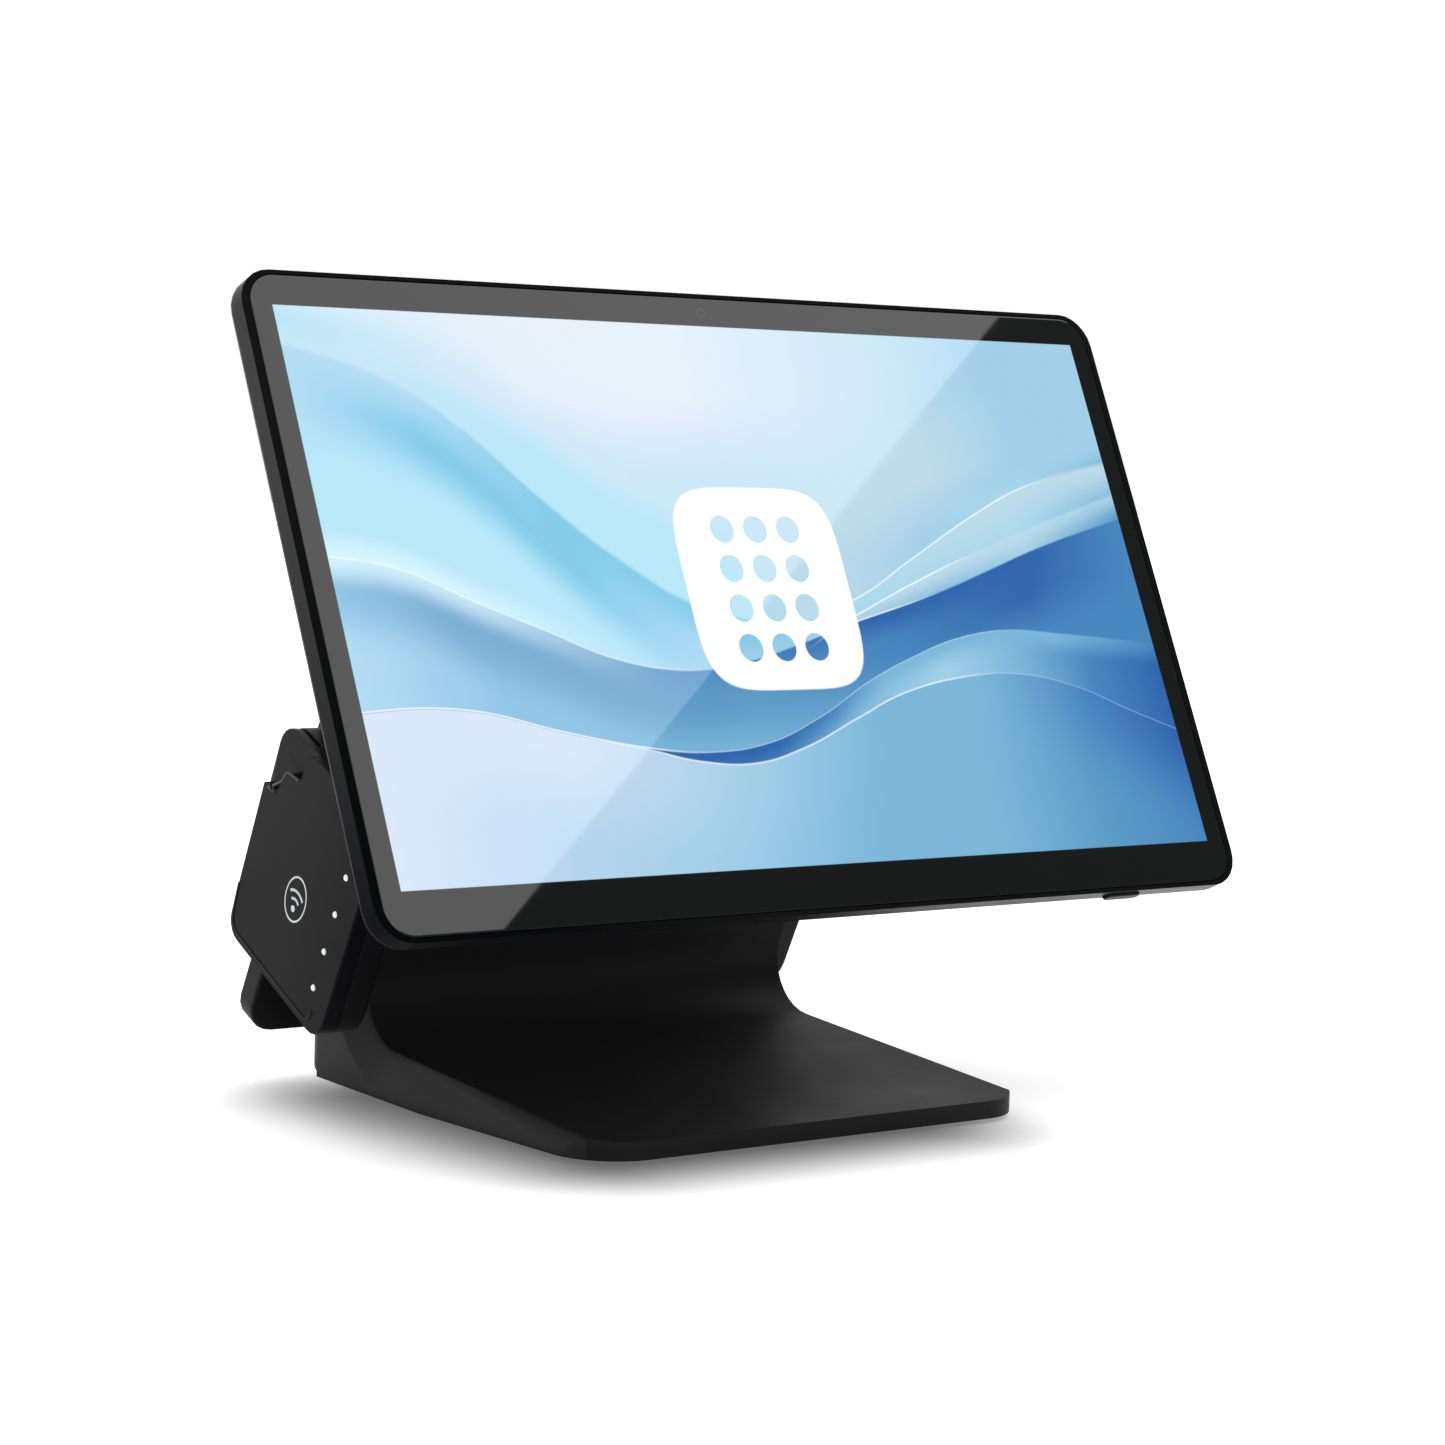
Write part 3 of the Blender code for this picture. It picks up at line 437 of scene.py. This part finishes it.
def display_glass(name):
    """Black glass over the lit picture, with a white tile that holds a pad of round keys."""
    t = Tree(name)
    x, _, z = t.axes()
    up = t.math("SUBTRACT", z, PICTURE_LOW)
    colour = wallpaper(t, t.scaled(x, 1 / PICTURE_W, 0.5), t.scaled(up, 1 / PICTURE_H))
    side = t.math("ABSOLUTE", t.scaled(x, 1 / TILE_HALF_W, TILE_SHIFT / TILE_HALF_W))
    top = t.math("ABSOLUTE", t.scaled(up, 1 / TILE_HALF_H, -TILE_UP / TILE_HALF_H))
    edge = t.math("ADD", t.math("POWER", side, TILE_POWER), t.math("POWER", top, TILE_POWER))
    tile = t.rest(t.step(edge, 0.95, 1.05))
    # Three columns by four rows of round keys, open to the picture.
    columns = t.math("PINGPONG", t.math("ABSOLUTE", x), KEY_PITCH / 2)
    rows = t.math("PINGPONG", t.scaled(up, 1.0, -TILE_UP), KEY_PITCH / 2)
    distance = t.length(columns, t.math("SUBTRACT", KEY_PITCH / 2, rows))
    dot = t.rest(t.step(distance, KEY_R - 0.25, KEY_R + 0.25))
    reach = KEY_PITCH + KEY_R + 1
    wide = t.inside(x, -reach, reach, 0.1)
    tall = t.inside(up, TILE_UP - 2 * KEY_PITCH, TILE_UP + 2 * KEY_PITCH, 0.1)
    keys = t.math("MULTIPLY", dot, t.math("MULTIPLY", wide, tall))
    colour = t.mix(t.math("MULTIPLY", tile, t.rest(keys)), colour, (1.05, 1.05, 1.05, 1.0))
    half = PICTURE_W / 2
    lit = t.math("MULTIPLY", t.inside(x, -half, half, 0.3), t.inside(up, 0.0, PICTURE_H, 0.3))
    t.set(Emission_Color=colour, Emission_Strength=lit, IOR=1.5)
    smears = t.step(t.noise(*SMEARS), 0.45, 0.75)
    black = t.mix(smears, (0.0028, 0.0030, 0.0031, 1), (0.0034, 0.0036, 0.0037, 1))
    # The webcam's lens and the ring round it.
    from_lens = t.length(x, t.scaled(up, 1.0, -WEBCAM_UP))
    ring = t.inside(from_lens, *WEBCAM_RING, 0.15)
    lens = t.inside(from_lens, -1.0, WEBCAM_LENS_R, 0.15)
    black = t.mix(ring, black, (0.03, 0.032, 0.034, 1))
    black = t.mix(lens, black, (0.0005, 0.0006, 0.002, 1))
    t.set(Base_Color=black, Roughness=t.scaled(smears, 0.02, 0.015))
    return t.material


def stand_plastic(name):
    """Satin black, duller up the mast and glossier on the sides of the foot."""
    t = Tree(name)
    x, _, z = t.axes()
    t.set(Base_Color=t.mottled((0.0034, 0.0034, 0.0038, 1), (0.0042, 0.0042, 0.0046, 1)))
    side = t.step(t.math("ABSOLUTE", x), *FOOT_SIDE_X)
    high = t.step(z, *MAST_DULL_Z)
    gloss = t.math("MULTIPLY", t.scaled(high, -0.6, 1.0), t.scaled(side, 0.8, 1.0))
    t.set(Specular_IOR_Level=t.math("MULTIPLY", gloss, 0.12))
    # A faint painted glow lifts its black, though the plastic is no lamp.
    t.set(Emission_Color=(0.0030, 0.0030, 0.0031, 1.0), Emission_Strength=1.0)
    t.set(Roughness=t.handled(0.45))
    t.bump(t.noise(2200, 2), 0.45)
    return t.material


def frame_plastic(name):
    """The display's satin frame, with a matt black lip round the glass."""
    t = Tree(name)
    x, y, z = t.axes()
    lip = t.rest(t.step(y, GLASS_FRONT + 0.15, GLASS_FRONT + 0.6))
    satin = t.mottled((0.0036, 0.0038, 0.0048, 1), (0.0048, 0.0050, 0.0062, 1))
    t.set(Base_Color=t.mix(lip, satin, (0.002, 0.0022, 0.0023, 1)))
    up, right = t.step(z, *FRAME_DULL_Z), t.step(x, *FRAME_DULL_X)
    gloss = t.math("MAXIMUM", t.scaled(up, 0.95, 0.05), right)
    gloss = t.math("MULTIPLY", gloss, t.scaled(lip, -0.82, 1.0))
    t.set(Specular_IOR_Level=t.math("MULTIPLY", gloss, 0.22))
    t.set(Roughness=t.math("ADD", t.handled(0.34), t.scaled(lip, 0.25)))
    t.bump(t.noise(2500, 2), 0.25)
    return t.material


def reader_face(name):
    """Reader plastic with a worn printed contactless sign: a ring round a dot and two arcs."""
    t = Tree(name)
    x, y, z = t.axes()
    across, up = t.scaled(y, 1.0, -SIGN_Y), t.scaled(z, 1.0, -SIGN_Z)
    ring = t.inside(t.length(across, t.scaled(up, SIGN_RING_SQUASH)), *SIGN_RING, PRINT_EDGE)
    # The arcs fan out above the dot.
    over = t.scaled(up, 1.0, SIGN_DOT_DOWN)
    reach = t.length(across, over)
    spare = t.math("SUBTRACT", t.scaled(over, SIGN_FAN), t.math("ABSOLUTE", across))
    fan = t.step(spare, -0.1, 0.1)
    arcs = t.math("MAXIMUM", *(t.inside(reach, *radii, PRINT_EDGE) for radii in SIGN_ARCS))
    dot = t.inside(reach, -1.0, SIGN_DOT_R, PRINT_EDGE)
    sign = t.math("MAXIMUM", ring, t.math("MAXIMUM", t.math("MULTIPLY", arcs, fan), dot))
    face = t.rest(t.step(x, FACE_X + 0.2, FACE_X + 0.4))
    worn = t.math("MULTIPLY", t.math("MULTIPLY", sign, face), t.scaled(t.noise(90, 3), 0.4, 0.7))
    satin = t.mottled((0.0024, 0.0025, 0.0033, 1), (0.0034, 0.0036, 0.0044, 1))
    t.set(Base_Color=t.mix(worn, satin, (0.60, 0.61, 0.63, 1)))
    gloss = t.scaled(t.step(y, *FACE_DULL_Y), 0.55, 1.0)
    t.set(Specular_IOR_Level=t.math("MULTIPLY", gloss, 0.055))
    t.set(Roughness=t.handled(0.34))
    t.bump(t.noise(2800, 2), 0.22)
    return t.material


def indicator(name, colour):
    """A small frosted lens lit from behind, a little uneven."""
    t = Tree(name)
    cloudy = t.noise(900, 2)
    t.set(Base_Color=t.mix(cloudy, (0.5, 0.5, 0.5, 1), (0.6, 0.6, 0.6, 1)))
    t.set(Roughness=t.scaled(cloudy, 0.1, 0.3))
    t.set(Emission_Color=(*colour, 1.0), Emission_Strength=t.scaled(cloudy, 0.1, 0.18))
    return t.material


def black_glass(name):
    """Unlit display glass: the picture area is a shade lighter than its black border."""
    t = Tree(name)
    x, _, z = t.axes()
    wide = t.inside(x, -CUSTOMER_HALF_W, CUSTOMER_HALF_W, 0.2)
    up = t.scaled(z, 1.0, -CUSTOMER_MIDDLE)
    area = t.math("MULTIPLY", wide, t.inside(up, -CUSTOMER_HALF_H, CUSTOMER_HALF_H, 0.2))
    smears = t.step(t.noise(*SMEARS), 0.45, 0.75)
    t.set(Base_Color=t.mix(area, (0.0028, 0.0028, 0.0030, 1), (0.006, 0.0065, 0.008, 1)))
    t.set(Roughness=t.scaled(smears, 0.04, 0.03))
    return t.material


# Colour, roughness, strength and size of the grain, and specular level of each plastic. Colours
# are linear.
SHELL = plastic("shell_plastic", (0.0038, 0.0038, 0.0042), 0.50, 0.45, 0.45, 0.12)
STAND_PLASTIC = stand_plastic("stand_plastic")
FRAME_PLASTIC = frame_plastic("frame_plastic")
READER_PLASTIC = plastic("reader_plastic", (0.0034, 0.0035, 0.0042), 0.40, 0.25, 0.35, 0.10)
READER_FACE = reader_face("reader_face")
# The crest's plastic is lighter than the reader's: a painted highlight along that edge, besides its
# real higher specular level.
CREST_HIGHLIGHT_PLASTIC = plastic("reader_plastic_painted_highlight", (0.014, 0.014, 0.016), 0.42, 0.25, 0.35, 0.35)
LED_WHITE = indicator("indicator_white", (1.0, 1.0, 1.0))
LED_GREEN = indicator("indicator_green", (0.45, 1.0, 0.92))
CUSTOMER_GLASS = black_glass("customer_glass")
RUBBER = plastic("rubber", (0.012, 0.012, 0.012), 0.80, 0.8, 0.8, 0.2)
STEEL = metal("brushed_steel", (0.36, 0.36, 0.37), 0.36)
DARK_STEEL = metal("black_coated_steel", (0.035, 0.035, 0.037), 0.42, (1, 1, 1), 500)
ALUMINIUM = metal("aluminium", (0.62, 0.63, 0.64), 0.38)
COPPER = metal("copper", (0.70, 0.33, 0.18), 0.32)
BOARD = circuit_board("circuit_board")
DISPLAY_GLASS = display_glass("display_glass")


# Mesh helpers ---------------------------------------------------------------------------------
def arc(cx, cy, radius, start, end, steps):
    angles = [math.radians(start + (end - start) * i / steps) for i in range(steps + 1)]
    return [(cx + radius * math.cos(a), cy + radius * math.sin(a)) for a in angles]


def rounded(x0, x1, y0, y1, radius, steps):
    """The loop of points round a rectangle with rounded corners."""
    points = []
    for cx, cy, start in ((x0, y0, 180), (x1, y0, 270), (x1, y1, 0), (x0, y1, 90)):
        inner_x = cx + radius if cx == x0 else cx - radius
        inner_y = cy + radius if cy == y0 else cy - radius
        points += arc(inner_x, inner_y, radius, start, start + 90, steps)
    return points


def fillet(start, end, radius, steps, margin=0.3):
    """(distance, inset) pairs of a slab with rounded edges, from one face to the other.

    A narrow flat margin beside each edge keeps the rounding's shading off the faces."""
    turn = [math.radians(90 * i / steps) for i in range(steps + 1)]
    sign = math.copysign(1, end - start)
    first = [(start + sign * radius * (1 - math.sin(a)), radius * (1 - math.cos(a))) for a in turn]
    last = [(end - sign * radius * (1 - math.sin(a)), radius * (1 - math.cos(a))) for a in turn]
    return [(start, radius + margin), *first[::-1], *last, (end, radius + margin)]


def loft(axis, sections):
    """A closed mesh through sections of (distance along axis, loop of points)."""
    order = {"X": (2, 0, 1), "Y": (0, 2, 1)}[axis]
    mesh = bmesh.new()
    loops = []
    for along, outline in sections:
        corners = [(a, b, along) for a, b in outline]
        loops.append([mesh.verts.new([c[i] * MM for i in order]) for c in corners])
    mesh.faces.new(loops[0])
    mesh.faces.new(loops[-1])
    for low, high in zip(loops, loops[1:]):
        for i in range(len(low)):
            j = (i + 1) % len(low)
            mesh.faces.new((low[i], low[j], high[j], high[i]))
    bmesh.ops.recalc_face_normals(mesh, faces=mesh.faces)
    return mesh


def piece(name, mesh, where, body, look, replaces=()):
    """An object from a mesh that is drawn in one of the frames, riding on a body."""
    data = bpy.data.meshes.new(name)
    mesh.to_mesh(data)
    mesh.free()
    made = link(name, data)
    data.materials.append(look)
    shade(made)
    made.matrix_world = where
    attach(made, body)
    if replaces:
        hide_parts(*replaces)
    return made


def shade(made):
    """Smooth shading, except across edges sharper than 30 degrees."""
    made.data.shade_smooth()
    made.data.set_sharp_from_angle(angle=math.radians(30))


def link(name, data):
    made = bpy.data.objects.new(name, data)
    bpy.context.scene.collection.objects.link(made)
    return made


def refine(node, look, width, where=Matrix.Identity(4)):
    """A copy of a CAD node with welded, smooth-shaded faces and edges rounded to this width.

    It is drawn in the frame of where, so its material can use that frame's coordinates."""
    source = NODES[node]
    mesh = bmesh.new()
    mesh.from_mesh(source.data)
    mesh.transform(where.inverted())
    bmesh.ops.remove_doubles(mesh, verts=mesh.verts, dist=1e-6)
    flat = math.radians(0.5)
    bmesh.ops.dissolve_limit(mesh, angle_limit=flat, verts=mesh.verts, edges=mesh.edges)
    made = piece(f"{node}_body", mesh, where, source["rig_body"], look, (node,))
    if width:
        modifier = made.modifiers.new("edges", "BEVEL")
        modifier.width = width * MM
        modifier.segments = 3
        modifier.limit_method = "ANGLE"
        modifier.angle_limit = math.radians(35)
        modifier.harden_normals = True
    return made


def dress(look, *names):
    """Gives their material to CAD nodes whose shapes stay as they are."""
    for name in names:
        data = NODES[name].data
        data.materials.clear()
        data.materials.append(look)
        shade(NODES[name])


# Stage ----------------------------------------------------------------------------------------
CAMERA = Vector((-0.7978, -1.0275, 0.2431))  # metres
LENS = 93.8  # on a 36 mm sensor
YAW, PITCH, ROLL = 38.48, 4.82, 2.0  # degrees
FLOOR_HALF = 6  # metres
FLOOR_GLOW = 0.42
CARD_AWAY = 4.5  # metres
CARD_REACH = 2.2  # metres

# The painted soft shadow on the floor, in millimetres.
SHADOW_X, SHADOW_Y = -21.0, -13.8
SHADOW_HALF_X, SHADOW_HALF_Y = 62.0, 63.6
SHADOW_FADE = 76.0
SHADOW_GLOW = 0.14


def make_camera():
    data = bpy.data.cameras.new("camera")
    data.lens = LENS
    data.sensor_width = 36
    made = link("camera", data)
    yaw = Matrix.Rotation(math.radians(-YAW), 4, "Z")
    pitch = Matrix.Rotation(math.radians(90 - PITCH), 4, "X")
    roll = Matrix.Rotation(math.radians(ROLL), 4, "Z")
    made.matrix_world = Matrix.Translation(CAMERA) @ yaw @ pitch @ roll
    bpy.context.scene.camera = made


def flat_look(name, colour, strength):
    """Plain light of one colour."""
    t = Tree(name)
    t.set(Base_Color=(0, 0, 0, 1), Roughness=1.0, Specular_IOR_Level=0.0)
    t.set(Emission_Color=(*colour, 1), Emission_Strength=strength)
    return t.material


def make_stage():
    world = bpy.data.worlds.new("studio")
    bpy.context.scene.world = world
    world.use_nodes = True
    world.node_tree.nodes["Background"].inputs[0].default_value = (1, 1, 1, 1)
    world.node_tree.nodes["Background"].inputs[1].default_value = 1.0
    bpy.context.scene.view_settings.view_transform = "Standard"
    corners = [(x * FLOOR_HALF, y * FLOOR_HALF, 0) for x, y in ((-1, -1), (1, -1), (1, 1), (-1, 1))]
    ground = sheet("floor", corners, floor_look())
    sun("overhead", (math.radians(12), math.radians(-10), 0), 0.62, 50)
    reflection_cards()


def sheet(name, corners, look):
    data = bpy.data.meshes.new(name)
    data.from_pydata(corners, [], [(0, 1, 2, 3)])
    data.materials.append(look)
    return link(name, data)


def floor_look():
    """A pale floor that glows faintly, with a painted soft shadow round the foot, clear from below.
    """
    t = Tree("pale_floor")
    x, y, _ = t.axes()
    away = []
    for value, middle, half in ((x, SHADOW_X, SHADOW_HALF_X), (y, SHADOW_Y, SHADOW_HALF_Y)):
        off = t.math("ABSOLUTE", t.scaled(value, 1.0, -middle))
        away.append(t.math("MAXIMUM", t.scaled(off, 1.0, -half), 0.0))
    outside_painted_shadow = t.step(t.length(*away), 0.0, SHADOW_FADE)
    pale = t.mix(t.noise(3, 3), (0.86, 0.86, 0.86, 1), (0.88, 0.88, 0.88, 1))
    # Painted shadow: round the foot the floor's colour falls to near black and its glow drops.
    t.set(Base_Color=t.mix(outside_painted_shadow, (0.03, 0.03, 0.03, 1), pale))
    t.set(Roughness=0.9, Specular_IOR_Level=0.1)
    glow = t.scaled(outside_painted_shadow, FLOOR_GLOW - SHADOW_GLOW, SHADOW_GLOW)
    t.set(Emission_Color=(1, 1, 1, 1), Emission_Strength=glow)
    t.set(Alpha=t.rest(t.node("NewGeometry").outputs["Backfacing"]))
    return t.material


def sun(name, turn, power, spread):
    data = bpy.data.lights.new(name, "SUN")
    data.energy = power
    data.angle = math.radians(spread)
    link(name, data).rotation_euler = turn


def reflection_cards():
    """A bright and a dark panel, seen only as reflections, that meet in a straight line.

    From the camera that line crosses the display's glass slantwise, so the cards are laid out
    as the mirrored camera sees them."""
    crossing = ((141.2, 103.0), (-137.5, -115.5))  # where the line meets the glass's edge
    ends = [HEAD @ Vector((x * MM, GLASS_FRONT * MM, z * MM)) for x, z in crossing]
    facing = HEAD.to_3x3() @ Vector((0, -1, 0))
    mirrored = CAMERA - 2 * (CAMERA - ends[0]).dot(facing) * facing
    view = ((ends[0] + ends[1]) / 2 - mirrored).normalized()
    outward = (ends[0] - mirrored).cross(ends[1] - mirrored).normalized()
    along = view.cross(outward).normalized() * CARD_REACH
    middle = mirrored + view * CARD_AWAY
    for name, look, reach in (
        ("card_bright", flat_look("bright_card", (1.0, 1.0, 1.0), 2.25), -CARD_REACH),
        ("card_dark", flat_look("dark_card", (0.95, 0.97, 1.0), 0.17), CARD_REACH),
    ):
        side = outward * reach
        near, far = middle - along, middle + along
        card = sheet(name, [near, far, far + side, near + side], look)
        card.visible_camera = False
        card.visible_diffuse = False
        card.visible_shadow = False
        card.visible_transmission = False


# Pieces ---------------------------------------------------------------------------------------
def make_display_glass():
    low, high = PICTURE_LOW - BORDER_BELOW, PICTURE_LOW + PICTURE_H + BORDER_ABOVE
    half = PICTURE_W / 2 + BORDER_SIDE
    sections = []
    for along, inset in fillet(0.0, GLASS_T, GLASS_EDGE_R, 3):
        outline = (-half + inset, half - inset, low + inset, high - inset, GLASS_CORNER - inset)
        sections.append((GLASS_FRONT + along, rounded(*outline, 12)))
    mesh, hidden = loft("Y", sections), ["touch_glass"]
    piece("display_glass", mesh, HEAD, "display_head", DISPLAY_GLASS, hidden)


def thick_line(points, width):
    """The outline of an open path drawn with a pen of this width."""
    left, right = [], []
    for i, point in enumerate(points):
        ahead = Vector(points[min(i + 1, len(points) - 1)]) - Vector(points[max(i - 1, 0)])
        side = Vector((-ahead.y, ahead.x)).normalized() * width / 2
        left.append(tuple(Vector(point) + side))
        right.append(tuple(Vector(point) - side))
    return left + right[::-1]


def raised_line(name, line, width, profile, look):
    """A low rounded rib on the reader's face. The profile is (distance from it, inset) pairs."""
    sections = [(FACE_X + along, thick_line(line, width - 2 * inset)) for along, inset in profile]
    piece(name, loft("X", sections), MAST, "stand", look)


def make_reader_bead():
    """The low raised line along the foot of the reader's face, which curls up at its front."""
    line = [(9.0, -96.0), (8.2, -104.0), *arc(1.6, -106.0, 6.0, -20, -78, 8)]
    line += [(-20.0, -113.1), (-44.0, -114.0), *arc(-46.0, -110.6, 3.4, -85, -200, 8)]
    profile = ((0.3, 0.0), (-0.05, 0.0), (-0.25, 0.12), (-0.3, 0.28))
    raised_line("reader_bead", line, 0.9, profile, READER_PLASTIC)


def make_reader_crest():
    """The raised edge of the face where a card goes in: a dip and then a crest."""
    line = [(8.4, -57.9), (6.0, -57.5), *arc(3.9, -55.3, 1.9, -110, -20, 5), (1.5, -51.6)]
    line += [*arc(-1.9, -49.3, 2.5, 15, 90, 5), (-5.0, -46.5), (-7.6, -46.2)]
    profile = ((0.4, 0.0), (-0.02, 0.0), (-0.24, 0.14), (-0.3, 0.32))
    # Its lighter colour is a painted highlight along the edge.
    raised_line("reader_crest", line, 1.0, profile, CREST_HIGHLIGHT_PLASTIC)


make_camera()
make_stage()
make_display_glass()
make_reader_bead()
make_reader_crest()

dress(SHELL, "mast_back_cover", "hinge_shroud", "speaker_left", "speaker_right", "dc_jack")
refine("stand_shell", STAND_PLASTIC, 0)
refine("head_frame", FRAME_PLASTIC, 0.7, HEAD)
refine("rear_cover", SHELL, 1.0)
refine("customer_shell", SHELL, 0.8)
refine("reader_front", READER_FACE, 0.5, MAST)
refine("reader_rear", READER_PLASTIC, 0.6)
refine("reader_bracket", DARK_STEEL, 0.4)
refine("customer_glass", CUSTOMER_GLASS, 0.3, MAST)
dress(READER_PLASTIC, "camera_module", "lcd_panel", "customer_panel", "power_button")
dress(DARK_STEEL, "base_plate")
dress(STEEL, "mast_spine", "chassis_plate", "port_bracket", "hinge_leaf_left", "hinge_leaf_right")
dress(STEEL, "hinge_shaft", "friction_washer_left", "friction_washer_right")
dress(STEEL, "hinge_nut_left", "hinge_nut_right", "customer_mount", "mag_head", "mag_head_spring")
dress(STEEL, "power_switch", *[f"base_screw_{i}" for i in range(1, 5)])
dress(STEEL, *[f"leaf_screw_{a}_{b}" for a in ("left", "right") for b in ("top", "bottom")])
dress(ALUMINIUM, "usb_port_1", "usb_port_2", "lan_port", "display_port", "heat_sink")
dress(BOARD, "mainboard", "memory_module", "storage_drive", "customer_board", "reader_board")
dress(RUBBER, *[f"foot_{i}" for i in range(1, 5)])
dress(LED_WHITE, "led_lens_1", "led_lens_2", "led_lens_4")
dress(LED_GREEN, "led_lens_3")
dress(COPPER, "nfc_antenna")
